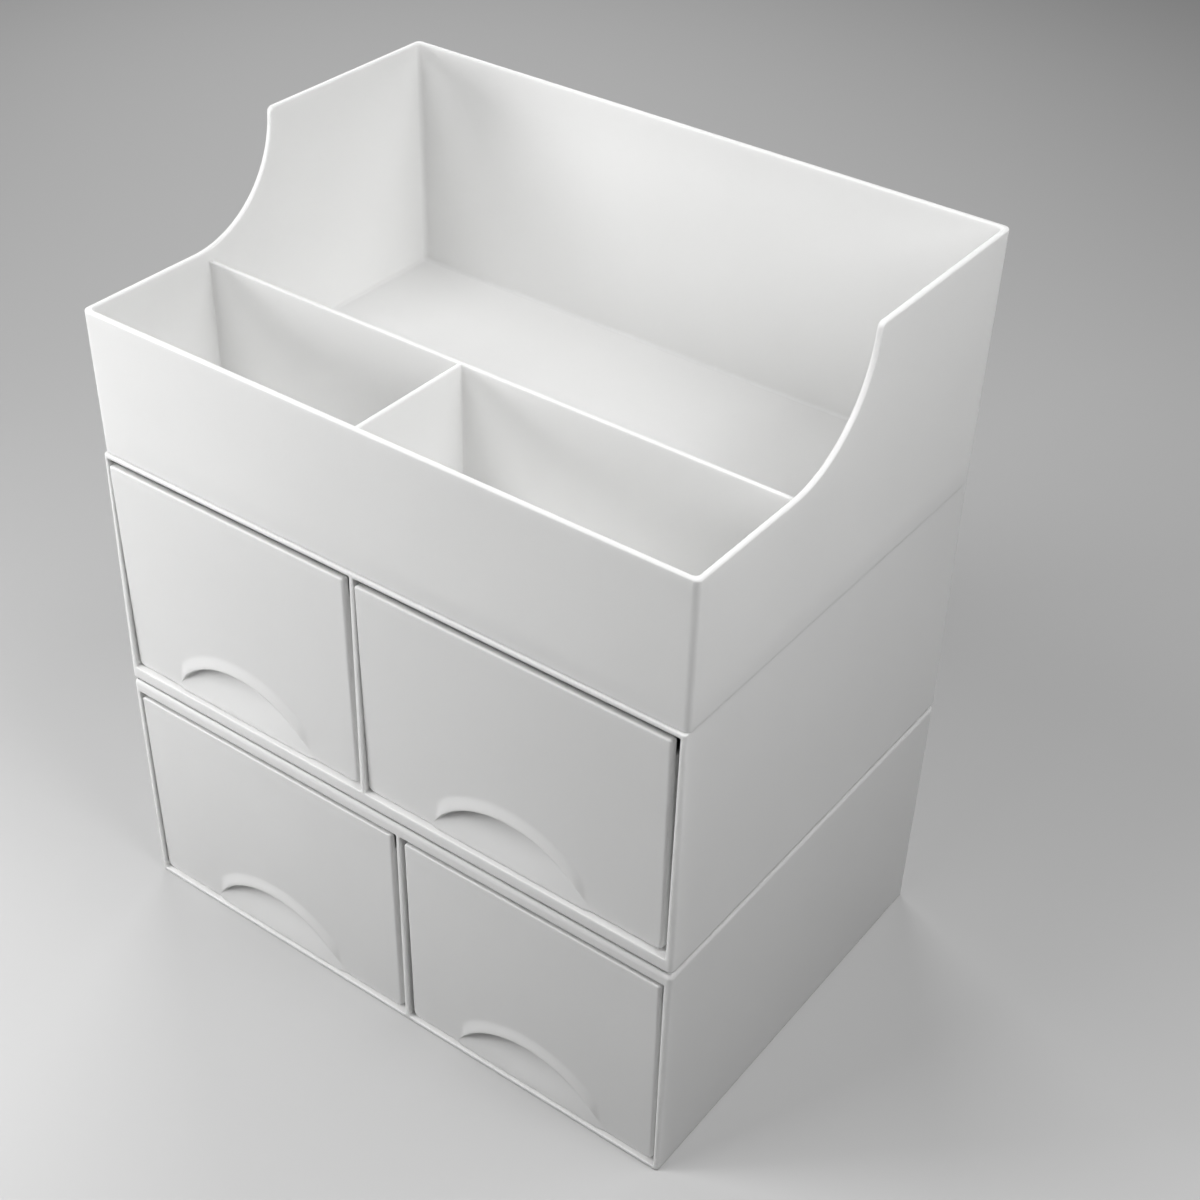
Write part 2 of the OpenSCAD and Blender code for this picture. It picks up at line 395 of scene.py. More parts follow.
@dataclass
class Cabinet(Moulding):
    """Cabinet shell with two bays, a partition and a hollow skirt at its wide end.

    Attributes:
        wide_w: width at the wide end.
        wide_d: depth at the wide end.
        height: height of the shell.
        draft_w: width lost towards the narrow end.
        draft_d: depth lost towards the narrow end.
        wall: thickness of the walls at the narrow end.
        floor: thickness of the panel at the narrow end.
        skirt: height of the skirt with its panel.
        skirt_panel: thickness of the panel inside the skirt.
        skirt_wall: thickness of the skirt at its rim.
        partition: distance of the partition from the middle.
        partition_t: thickness of the partition.
        corner: radius of the upright corners at the wide end.
        narrow_corner: radius of the upright corners at the narrow end.
        wide_edge: radius on the edge of the wide end.
        narrow_edge: radius on the edge of the narrow end.
        relief: height and depth of the step round the rim of the wide end.
        channel: start, depth and end of the channel in the rim of the wide end, from the outside inward.
        shaped: height under the rim in which the outside gets its final form from the rings alone.
        rib_drop: distance of the skirt's rib below the rim.
        rib_edge: radius on the rib's edges.
        hollow_fillet: radius in the hollow's corners.
        hollow_edge: radius on the hollow's edges.
        bay_fillet: radius in the bays' corners.
        bay_edge: radius on the bays' front edges.
        stands_wide: whether the shell stands on its wide end.
        base: height at which it stands.
    """

    wide_w: float = 261.0
    wide_d: float = 183.6
    height: float = 105.5
    draft_w: float = 2.0
    draft_d: float = 1.2
    wall: float = 1.8
    floor: float = 1.8
    skirt: float = 6.2
    skirt_panel: float = 2.6
    skirt_wall: float = 3.0
    partition: float = 8.2
    partition_t: float = 1.6
    corner: float = 2.1
    narrow_corner: float = 1.4
    wide_edge: float = 3.0
    narrow_edge: float = 0.6
    relief: Flat = (0.0, 0.0)
    channel: Point = (0.0, 0.0, 0.0)
    shaped: float = 3.0
    rib_drop: float = 0.4
    rib_edge: float = 0.18
    hollow_fillet: float = 0.6
    hollow_edge: float = 0.2
    bay_fillet: float = 0.9
    bay_edge: float = 0.35
    stands_wide: bool = False
    base: float = 0.0

    def half_w(self, z: float) -> float:
        """Half width of the shell at height z."""
        return (self.wide_w - self.draft_w * (1 - z / self.height)) / 2

    def half_d(self, z: float) -> float:
        """Half depth of the shell at height z."""
        return (self.wide_d - self.draft_d * (1 - z / self.height)) / 2

    def _level(self, z: float, inset: float) -> list[Point]:
        """Ring of the outer skin at height z, moved inward by inset."""
        least_corner = 0.3
        corner = lerp(self.narrow_corner, self.corner, z / self.height)
        return ring(self.half_w(z) - inset, self.half_d(z) - inset, max(least_corner, corner - inset), z)

    def _outside(self) -> Solid:
        """Outer skin with both of its end edges rounded."""
        rings = []
        narrow_steps, wide_steps, slant = 4, 6, 0.05
        for i in range(narrow_steps + 1):
            a = math.radians(90 * i / narrow_steps)
            rings.append(
                self._level(self.narrow_edge * (1 - math.cos(a)), self.narrow_edge * (1 - math.sin(a))))
        rise, step = self.relief
        start, deep, end = self.channel
        stop = math.degrees(math.acos(1 - start / self.wide_edge)) if deep else 90
        for i in range(wide_steps + 1):
            a = math.radians(stop * i / wide_steps)
            rings.append(self._level(self.height - rise - self.wide_edge * (1 - math.sin(a)),
                                     self.wide_edge * (1 - math.cos(a))))
        if rise:
            rings += [self._level(self.height - rise, step), self._level(self.height, step)]
        if deep:
            foot = self.height - self.wide_edge * (1 - math.sin(math.radians(stop))) - deep
            rings += [self._level(foot, start + slant), self._level(foot, end), self._level(self.height, end)]
        return loft(self.node + "_moulding", rings)

    @property
    def panel_top(self) -> float:
        """Height of the top of the panel on which the drawers slide."""
        return self.base + (self.skirt if self.stands_wide else self.floor)

    def _bay_ends(self, side: Side) -> Flat:
        """Left and right end of one bay, before the shell is turned over."""
        near = self.partition + side.value * self.partition_t / 2
        far = side.value * (self.half_w(0) - self.wall)
        return min(near, far), max(near, far)

    def room(self, side: Side) -> Flat:
        """Left and right end of one bay as the cabinet stands.

        Args:
            side: side of the partition, as the cabinet stands.

        Returns:
            The two ends.
        """
        if not self.stands_wide:
            return self._bay_ends(side)
        left, right = self._bay_ends(Side(-side.value))
        return -right, -left

    def _bay(self, side: Side) -> Solid:
        """Cutter for one drawer bay, open at the front."""
        left, right = self._bay_ends(side)
        back = self.half_d(0) - self.wall
        return block("bay", (left, -self.wide_d, self.floor), (right, back, self.height - self.skirt))

    def _skirt(self) -> list[Solid]:
        """Cutters for the hollow of the skirt, left and right of its rib."""
        z = self.height - self.skirt + self.skirt_panel
        half = self.wide_w / 2 - self.skirt_wall
        deep = self.wide_d / 2 - self.skirt_wall
        left = self.partition - self.partition_t / 2
        right = self.partition + self.partition_t / 2
        rib, lap, above = self.height - self.rib_drop, 1.0, self.height + CLEAR
        return [block("hollow", (-half, -deep, z), (left, deep, above)),
                block("hollow", (right, -deep, z), (half, deep, above)),
                block("hollow", (left - lap, -deep, rib), (right + lap, deep, above))]

    def _radius(self, edge: bmesh.types.BMEdge) -> float:
        """Rounding of one edge of the shell."""
        x, y, z = (edge.verts[0].co + edge.verts[1].co) / 2 / MM
        inset = min(self.half_w(z) - abs(x), self.half_d(z) - abs(y))
        margin = 0.2
        if z > self.height - self.shaped and inset < self.skirt_wall - margin:
            return 0.0
        if z > self.height - self.rib_drop - margin:
            return self.rib_edge
        if z > self.height - self.skirt + margin:
            return self.hollow_edge if edge.is_convex else self.hollow_fillet
        return self.bay_edge if edge.is_convex else self.bay_fillet

    def build(self) -> bpy.types.Object:
        """Makes the shell.

        Returns:
            The object, standing in its place.
        """
        shell = self._outside()
        for side in Side:
            shell.combine(self._bay(side), Combine.TAKE_AWAY)
        for hollow in self._skirt():
            shell.combine(hollow, Combine.TAKE_AWAY)
        shell.soften(self._radius, self.bay_fillet)
        if self.stands_wide:
            shell.turn(Matrix.Rotation(math.pi, 4, "Y"))
        foot = self.base + self.height if self.stands_wide else self.base
        shell.turn(Matrix.Translation((0, 0, foot * MM)))
        return shell.shade()


@dataclass
class Caddy(Moulding):
    """Top caddy: an open box with low front, scooped sides and three compartments.

    Attributes:
        base_w: width at the base.
        rim_w: width at the rim.
        base_d: depth at the base.
        rim_d: depth at the rim.
        base_y: middle of the base, front to back.
        rim_y: middle of the rim, front to back.
        height: height of the back wall.
        front_h: height of the front wall.
        floor_z: height of the compartments' floor.
        floor_t: thickness of that floor.
        wall: thickness of the walls.
        corner: radius of the upright corners.
        scoop_y: centre of the side walls' scoop, front to back.
        scoop_top: rounding at the scoop's upper end.
        floor_fillet: radius between the floor and the walls.
        inner_corner: radius of the compartments' upright corners at the floor.
        upper_corner: radius of the compartments' upright corners above it.
        under_corner: radius of the corners of the hollow under the floor.
        divider_y: place of the long divider.
        divider_x: place of the cross divider.
        divider_h: height of the dividers.
        divider_t: thickness of the dividers.
        rim_edge: radius on the edges of the rim.
        divider_edge: radius on the upper edges of the dividers.
        joint_fillet: radius in the corners between dividers and walls.
        base_edge: radius on the edges at the base.
        base: height at which it stands.
    """

    base_w: float = 259.8
    rim_w: float = 261.2
    base_d: float = 181.4
    rim_d: float = 183.1
    base_y: float = 0.6
    rim_y: float = 0.25
    height: float = 102.0
    front_h: float = 58.8
    floor_z: float = 7.9
    floor_t: float = 3.0
    wall: float = 2.2
    corner: float = 2.4
    scoop_y: float = -37.5
    scoop_top: float = 2.2
    floor_fillet: float = 1.6
    inner_corner: float = 2.2
    upper_corner: float = 1.8
    under_corner: float = 1.5
    divider_y: float = -30.5
    divider_x: float = -8.5
    divider_h: float = 54.4
    divider_t: float = 1.8
    rim_edge: float = 0.75
    divider_edge: float = 0.6
    joint_fillet: float = 0.7
    base_edge: float = 0.5
    base: float = 211.0

    def _level(self, z: float, inset: float, radius: float) -> list[Point]:
        """Ring of the box at height z above its base, moved inward by inset."""
        t = z / self.height
        half_w = lerp(self.base_w, self.rim_w, t) / 2 - inset
        half_d = lerp(self.base_d, self.rim_d, t) / 2 - inset
        return ring(half_w, half_d, radius, z, lerp(self.base_y, self.rim_y, t))

    def _scoop(self) -> Solid:
        """Cutter that lowers the front and leaves the side walls scooped."""
        radius = self.height - self.front_h
        far, above, reach = 150.0, 30.0, 200.0
        steps, taken_by_top, top_steps = 48, 4, 5
        outline = [(-far, self.front_h)]
        for i in range(steps + 1 - taken_by_top):
            a = math.radians(-90 + 90 * i / steps)
            outline.append((self.scoop_y + radius * math.cos(a), self.height + radius * math.sin(a)))
        end = self.scoop_y + radius
        for i in range(top_steps + 1):
            a = math.radians(90 * i / top_steps)
            outline.append((end + self.scoop_top * (1 - math.cos(a)),
                            self.height - self.scoop_top * (1 - math.sin(a))))
        outline += [(end + self.scoop_top, self.height + above), (-far, self.height + above)]
        return slab("scoop", outline, -reach, reach, lambda a, b, t: (t, a, b))

    def _inside(self) -> Solid:
        """Cutter for the room above the floor, with a fillet round the floor."""
        rings = []
        for turn in QUARTER:
            a = math.radians(turn)
            inset = self.wall + self.floor_fillet * (1 - math.sin(a))
            corner = lerp(self.inner_corner, self.upper_corner, math.sin(a))
            rings.append(self._level(self.floor_z + self.floor_fillet * (1 - math.cos(a)), inset, corner))
        rings.append(self._level(self.height + CLEAR, self.wall, self.upper_corner))
        return loft("inside", rings)

    def _under(self) -> Solid:
        """Cutter for the hollow under the floor."""
        levels = (-CLEAR, self.floor_z - self.floor_t)
        return loft("under", [self._level(z, self.wall, self.under_corner) for z in levels])

    def _dividers(self) -> list[Solid]:
        """The long divider and the cross divider."""
        sunk, sides_lean, front_lean = self.wall * 0.6, 0.4, 0.5
        half = self.rim_w / 2 - sunk - sides_lean
        front = self.rim_y - self.rim_d / 2 + sunk + front_lean
        low, high = self.floor_z - self.floor_t / 2, self.divider_h
        x, y, t = self.divider_x, self.divider_y, self.divider_t / 2
        return [block("divider", (-half, y - t, low), (half, y + t, high)),
                block("divider", (x - t, front, low), (x + t, y, high))]

    def _radius(self, edge: bmesh.types.BMEdge) -> float:
        """Rounding of one edge of the caddy."""
        z = (edge.verts[0].co.z + edge.verts[1].co.z) / 2 / MM
        margin = 0.2
        if z < self.floor_z - margin:
            return self.base_edge
        if not edge.is_convex:
            return self.joint_fillet
        return self.divider_edge if abs(z - self.divider_h) < margin else self.rim_edge

    def build(self) -> bpy.types.Object:
        """Makes the caddy.

        Returns:
            The object, standing in its place.
        """
        shell = loft(self.node + "_moulding", [self._level(z, 0, self.corner) for z in (0, self.height)])
        for cutter in (self._inside(), self._under(), self._scoop()):
            shell.combine(cutter, Combine.TAKE_AWAY)
        for divider in self._dividers():
            shell.combine(divider, Combine.JOIN)
        shell.soften(self._radius, self.rim_edge)
        shell.turn(Matrix.Translation((0, 0, self.base * MM)))
        return shell.shade()


@dataclass
class Handle:
    """Arched hood with a finger scoop under its lip, seen from the front as (u, w).

    Attributes:
        lip_r: radius of the lip.
        hood_r: radius at which the hood leaves the face.
        drop: distance of the arch's centre below the drawer.
        out: projection of the lip.
        half: half width of the hood.
        end_soft: width over which the hood's ends fade into the face.
        straight: share of the hood's slope that falls in a straight line.
        scoop_start: height at which the scoop starts.
        slope: depth that the scoop gains per height.
        run_in: height over which the scoop's slope builds up.
        bow: share of the depth that is gone at the hood's ends.
        lip_round: radius of the lip's edge.
        roof_round: radius between the scoop and the lip's underside.
        foot_soft: width over which the drawer's foot rounding fades out beside the scoop.
    """

    lip_r: float = 40.0
    hood_r: float = 45.8
    drop: float = 17.9
    out: float = 1.2
    half: float = 31.4
    end_soft: float = 5.5
    straight: float = 0.6
    scoop_start: float = 0.5
    slope: float = 0.46
    run_in: float = 7.0
    bow: float = 0.6
    lip_round: float = 0.7
    roof_round: float = 2.0
    foot_soft: float = 4.0

    def depth(self, u: float, w: float) -> float:
        """Depth of the scoop at place u and height w."""
        rise = max(0.0, w - self.scoop_start)
        return self.slope * rise * rise / (rise + self.run_in) * (1 - self.bow * (u / self.half) ** 2)

    def foot(self, u: float, edge: float) -> float:
        """Depth at which the face meets the panel under it at place u, for a foot rounding of edge."""
        reach = math.sqrt(self.lip_r**2 - self.drop**2) + 1.0
        return edge * (1 - ease((reach - abs(u)) / self.foot_soft))

    def hood(self, u: float) -> float:
        """Projection of the hood's lip at place u."""
        return self.out * ease((self.half - abs(u)) / self.end_soft + 0.5)


@dataclass
class Drawer(Moulding):
    """One-piece drawer: a leaning front with its arched handle, and an open tray behind it.

    Attributes:
        centre: middle of the front, left to right.
        bottom: height of its underside.
        width: width of the front.
        face_y: place of the foot of its face, front to back.
        height: height of the front.
        lean: distance that the face leans forward at the top.
        foot: thickness of the front at its foot.
        head: thickness of the front at its top.
        foot_edge: radius of the face's lower edge.
        left_edge: radius of the face's left edge.
        right_edge: radius of the face's right edge.
        top_edge: radius of the face's upper edge.
        back_edge: radius of the edges of the back.
        foot_corner: radius of the lower corners.
        top_corner: radius of the upper corners.
        tray_h: height of the tray.
        tray_l: length from the face to the back of the tray.
        tray_t: thickness of the tray's walls.
        tray_inset: inset of the tray from the ends of the front.
        tray_corner: radius of the tray's back corners.
        tray_rim: radius on the tray's rim.
        tray_fillet: radius between the tray's floor and its walls.
        tray_foot: rounding under the tray's walls.
        scoop_back: radius on the back of the scoop's wall.
        handle: the handle in the front.
    """

    centre: float = 0.0
    bottom: float = 0.0
    width: float = 120.0
    face_y: float = -89.7
    height: float = 94.6
    lean: float = 1.5
    foot: float = 3.4
    head: float = 3.0
    foot_edge: float = 1.8
    left_edge: float = 0.7
    right_edge: float = 1.3
    top_edge: float = 0.7
    back_edge: float = 0.5
    foot_corner: float = 2.9
    top_corner: float = 1.1
    tray_h: float = 85.6
    tray_l: float = 176.0
    tray_t: float = 1.8
    tray_inset: float = 0.7
    tray_corner: float = 5.0
    tray_rim: float = 0.7
    tray_fillet: float = 2.4
    tray_foot: float = 1.0
    scoop_back: float = 2.5
    handle: Handle = field(default_factory=Handle)

    def _place(self, u: float, w: float, y: float) -> Point:
        """Point of the front at place u, height w and depth y, with its lean."""
        return u, y - self.lean * w / self.height, w

    def _back(self, w: float) -> float:
        """Depth of the front's back at height w."""
        return lerp(self.foot, self.head, w / self.height)

    def _angles(self) -> list[float]:
        """Angles of the handle's columns, closer together at the hood's ends."""
        reach = self.handle.lip_r + 1.5
        coarse, coarse_steps, fine, fine_steps = 1.7, 18, 0.4, 19
        end = 29.9
        half = [coarse * i for i in range(coarse_steps)]
        half += [end + fine * (i + 1) for i in range(fine_steps)]
        angles = [math.asin(u / reach) for u in half]
        return [-a for a in reversed(angles[1:])] + angles

    def _face_rows(self, angle: float) -> list[Point]:
        """Points of one column of the handle's face, from the foot to beyond the hood.

        Args:
            angle: direction of the column from the arch's centre.

        Returns:
            The points as (u, w, depth).
        """
        h = self.handle
        start = (h.drop + self.foot_edge) / math.cos(angle)
        lip_w = max(self.foot_edge, h.lip_r * math.cos(angle) - h.drop)
        deep = h.depth(h.lip_r * math.sin(angle), lip_w) if h.lip_r > start else 0.0
        hood = h.hood(h.lip_r * math.sin(angle))
        largest = ROUND_SHARE * (deep + hood)
        roof, nose = min(h.roof_round, largest), min(h.lip_round, largest)
        inner = max(h.lip_r - roof, start)
        rows: list[Flat] = []
        for i in range(SCOOP_ROWS):
            radius = lerp(start, inner, i / SCOOP_ROWS)
            depth = h.depth(radius * math.sin(angle), radius * math.cos(angle) - h.drop)
            rows.append((radius, depth if deep else 0.0))
        for turn in QUARTER:
            a = math.radians(turn)
            rows.append((h.lip_r - roof * (1 - math.sin(a)), deep - roof * (1 - math.cos(a))))
        for turn in QUARTER:
            a = math.radians(turn)
            rows.append((h.lip_r + nose * (1 - math.cos(a)), nose * (1 - math.sin(a)) - hood))
        for i in range(HOOD_ROWS):
            t = (i + 1) / HOOD_ROWS
            radius = lerp(h.lip_r + nose, h.hood_r, t)
            fall = lerp(ease(t), t, h.straight)
            rows.append((radius, -h.hood(radius * math.sin(angle)) * (1 - fall)))
        rows += [(h.hood_r + 0.7, 0.0), (h.hood_r + HANDLE_MARGIN, 0.0)]
        return self._column(angle, rows, start)

    def _back_rows(self, angle: float) -> list[Point]:
        """Points of one column of the back, which covers the scoop.

        Args:
            angle: direction of the column from the arch's centre.

        Returns:
            The points as (u, w, depth).
        """
        h = self.handle
        start = (h.drop + self.back_edge) / math.cos(angle)
        lip = h.lip_r + self.tray_t
        r = self.scoop_back
        rows: list[Flat] = []
        for i in range(SCOOP_ROWS):
            radius = lerp(start, max(lip - r, start), i / (SCOOP_ROWS - 1))
            depth = h.depth(radius * math.sin(angle), radius * math.cos(angle) - h.drop)
            rows.append((radius, depth + self.tray_t if lip > start else 0.0))
        deep = rows[-1][1]
        for turn in QUARTER[1:]:
            a = math.radians(turn)
            rows.append((lip - r * (1 - math.sin(a)), deep - r * (1 - math.cos(a))))
        rows += [(lip, 0.0), (h.hood_r + HANDLE_MARGIN, 0.0)]
        points = self._column(angle, rows, start)
        return [(u, w, max(y, self._back(w))) for u, w, y in points]

    def _column(self, angle: float, rows: Sequence[Flat], start: float) -> list[Point]:
        """Turns rows of (radius, depth) into points whose radius always grows."""
        points, least, growth = [], start, 0.02
        for radius, depth in rows:
            radius = max(radius, least)
            least = radius + growth
            points.append((radius * math.sin(angle), radius * math.cos(angle) - self.handle.drop, depth))
        return points

    def _rim(self, back: bool) -> list[tuple[Flat, Flat, float]]:
        """Corner points of the front's flat part, the outline outside them and the edge's depth.

        Args:
            back: whether it is the back or the face.

        Returns:
            Point, outline point and depth of each, from lower right to lower left.
        """
        out = []
        steps, least = 5, 0.2
        for su, top, a0 in ((1, 0, -90), (1, 1, 0), (-1, 1, 90), (-1, 0, 180)):
            corner = self.top_corner if top else self.foot_corner
            level = self.back_edge if back else (self.top_edge if top else self.foot_edge)
            side = self.back_edge if back else (self.right_edge if su > 0 else self.left_edge)
            semi_u, semi_w = max(least, corner - side), max(least, corner - level)
            sw = 1 if top else -1
            for i in range(steps + 1):
                a = math.radians(a0 + 90 * i / steps)
                c, s = math.cos(a), math.sin(a)
                inner = (su * (self.width / 2 - side - semi_u) + semi_u * c,
                         self.height * top - sw * (level + semi_w) + semi_w * s)
                outer = (su * (self.width / 2 - corner) + corner * c,
                         self.height * top - sw * corner + corner * s)
                out.append((inner, outer, lerp(side, level, s * s)))
        return out

    def _front(self) -> Solid:
        """Front panel with the handle in its face and the scoop's wall behind."""
        points: list[Point] = []
        faces: list[list[int]] = []

        def add(u: float, w: float, y: float) -> int:
            """Adds one point and returns its number."""
            points.append(self._place(u, w, y))
            return len(points) - 1

        def skin(columns: list[list[Point]], back: bool) -> list[tuple[int, Flat, float, Point]]:
            """Adds the face or the back. Returns its outer loop with the outline beyond it."""
            grid = [[add(*p) for p in column] for column in columns]
            for left, right in zip(grid, grid[1:]):
                for k in range(len(left) - 1):
                    faces.append([left[k], right[k], right[k + 1], left[k + 1]])
            loop = []
            for inner, outer, depth in self._rim(back):
                y = self._back(inner[1]) if back else 0.0
                loop.append((add(*inner, y), outer, depth, (*inner, y)))
            faces.append([item[0] for item in loop] + grid[0] + [c[-1] for c in grid[1:-1]] + grid[-1][::-1])
            for number, column in zip(grid, columns):
                u = column[0][0]
                foot = self.back_edge if back else self.handle.foot(u, self.foot_edge)
                loop.append((number[0], (u, 0.0), foot, column[0]))
            return loop

        face = skin([self._face_rows(a) for a in self._angles()], False)
        rear = skin([self._back_rows(a) for a in self._angles()], True)
        previous = [item[0] for item in face]
        for turn in (18.0, 36.0, 54.0, 72.0, 90.0):
            s, c = math.sin(math.radians(turn)), math.cos(math.radians(turn))
            level = [add(lerp(p[0], o[0], s), lerp(p[1], o[1], s), depth * (1 - c) + p[2] * c)
                     for _, o, depth, p in face]
            self._strip(faces, previous, level)
            previous = level
        for turn in (0.0, 30.0, 60.0):
            s, c = math.sin(math.radians(turn)), math.cos(math.radians(turn))
            level = [add(lerp(p[0], o[0], c), lerp(p[1], o[1], c), p[2] - depth * (1 - s))
                     for _, o, depth, p in rear]
            self._strip(faces, previous, level)
            previous = level
        self._strip(faces, previous, [item[0] for item in rear])
        return Solid(self.node + "_moulding", points, faces)

    @staticmethod
    def _strip(faces: list[list[int]], lower: list[int], upper: list[int]) -> None:
        """Adds the faces between two closed rows of points."""
        n = len(lower)
        for i in range(n):
            j = (i + 1) % n
            faces.append([lower[i], lower[j], upper[j], upper[i]])

    def _tray(self) -> Solid:
        """Open tray with round back corners, a filleted floor and a soft rim."""
        half = self.width / 2 - self.tray_inset
        front, back, steps = -30.0, self.tray_l, 8

        def level(inset: float, z: float) -> list[Point]:
            """Ring of the tray at height z, moved inward by inset."""
            radius = max(1.0, self.tray_corner - inset)
            points: list[Point] = [(-half + inset, front + inset, z), (half - inset, front + inset, z)]
            for s in (1, -1):
                for i in range(steps + 1):
                    a = math.radians(90 * i / steps + (0 if s == 1 else 90))
                    points.append((s * (half - inset - radius) + radius * math.cos(a),
                                   back - inset - radius + radius * math.sin(a), z))
            return points

        def arc(radius: float, degrees: float) -> Flat:
            """Inset and drop of the point of a rounding at the given direction."""
            a = math.radians(degrees)
            return radius * (1 - math.cos(a)), radius * (1 - math.sin(a))

        rim, foot, t = self.tray_rim, self.tray_foot, self.tray_t
        rings = [level(foot, 0.0), level(0.3 * foot, 0.3 * foot), level(0.0, foot)]
        for degrees in (0, 30, 60, 90):
            inset, drop = arc(rim, degrees)
            rings.append(level(inset, self.tray_h - drop))
        for degrees in (90, 60, 30, 0):
            inset, drop = arc(rim, degrees)
            rings.append(level(t - inset, self.tray_h - drop))
        for degrees in QUARTER:
            inset, rise = arc(self.tray_fillet, degrees)
            rings.append(level(t + inset, t + rise))
        tray = loft("tray", rings)
        low, high, far, wide, lap = -20.0, 120.0, -60.0, 200.0, 0.6
        bottom, top = (self._place(0, z, self._back(z) - lap)[1] for z in (low, high))
        cutter = [(far, low), (bottom, low), (top, high), (far, high)]
        tray.combine(slab("front_of_tray", cutter, -wide, wide, lambda a, b, x: (x, a, b)), Combine.TAKE_AWAY)
        return tray

    def build(self) -> bpy.types.Object:
        """Makes the drawer.

        Returns:
            The object, in its bay.
        """
        drawer = self._front()
        drawer.combine(self._tray(), Combine.JOIN)
        drawer.turn(Matrix.Translation(Vector((self.centre, self.face_y, self.bottom)) * MM))
        return drawer.shade(angle=42)


# ---------------------------------------------------------------- studio


@dataclass(frozen=True)
class Lamp:
    """Soft square lamp.

    Attributes:
        name: name of the lamp.
        place: where it stands, in metres.
        aim: point it looks at.
        size: side of its square.
        power: power in watts.
    """

    name: str
    place: Point
    aim: Point
    size: float
    power: float

    def light(self) -> None:
        """Puts the lamp into the scene."""
        data = bpy.data.lights.new(self.name, "AREA")
        data.shape = "SQUARE"
        data.size = self.size
        data.energy = self.power
        lamp = bpy.data.objects.new(self.name, data)
        bpy.context.scene.collection.objects.link(lamp)
        lamp.location = self.place
        lamp.rotation_euler = (Vector(self.aim) - Vector(self.place)).to_track_quat("-Z", "Y").to_euler()


LAMPS = (
    Lamp("near_left", (-0.42, -0.45, 0.32), (-0.1, -0.09, 0.12), 0.25, 2.35),
    Lamp("front_top", (-0.3, -0.55, 1.03), (-0.05, 0.0, 0.25), 0.45, 4.1),
    Lamp("near_right", (0.6, -0.14, 0.7), (0.13, 0.0, 0.26), 0.35, 2.5),
    Lamp("top_right", (0.6, 0.2, 1.2), (0.0, 0.0, 0.25), 0.6, 4.4),
    Lamp("back_left", (-0.8, 0.8, 0.9), (0.0, 0.0, 0.18), 0.7, 6.0),
)


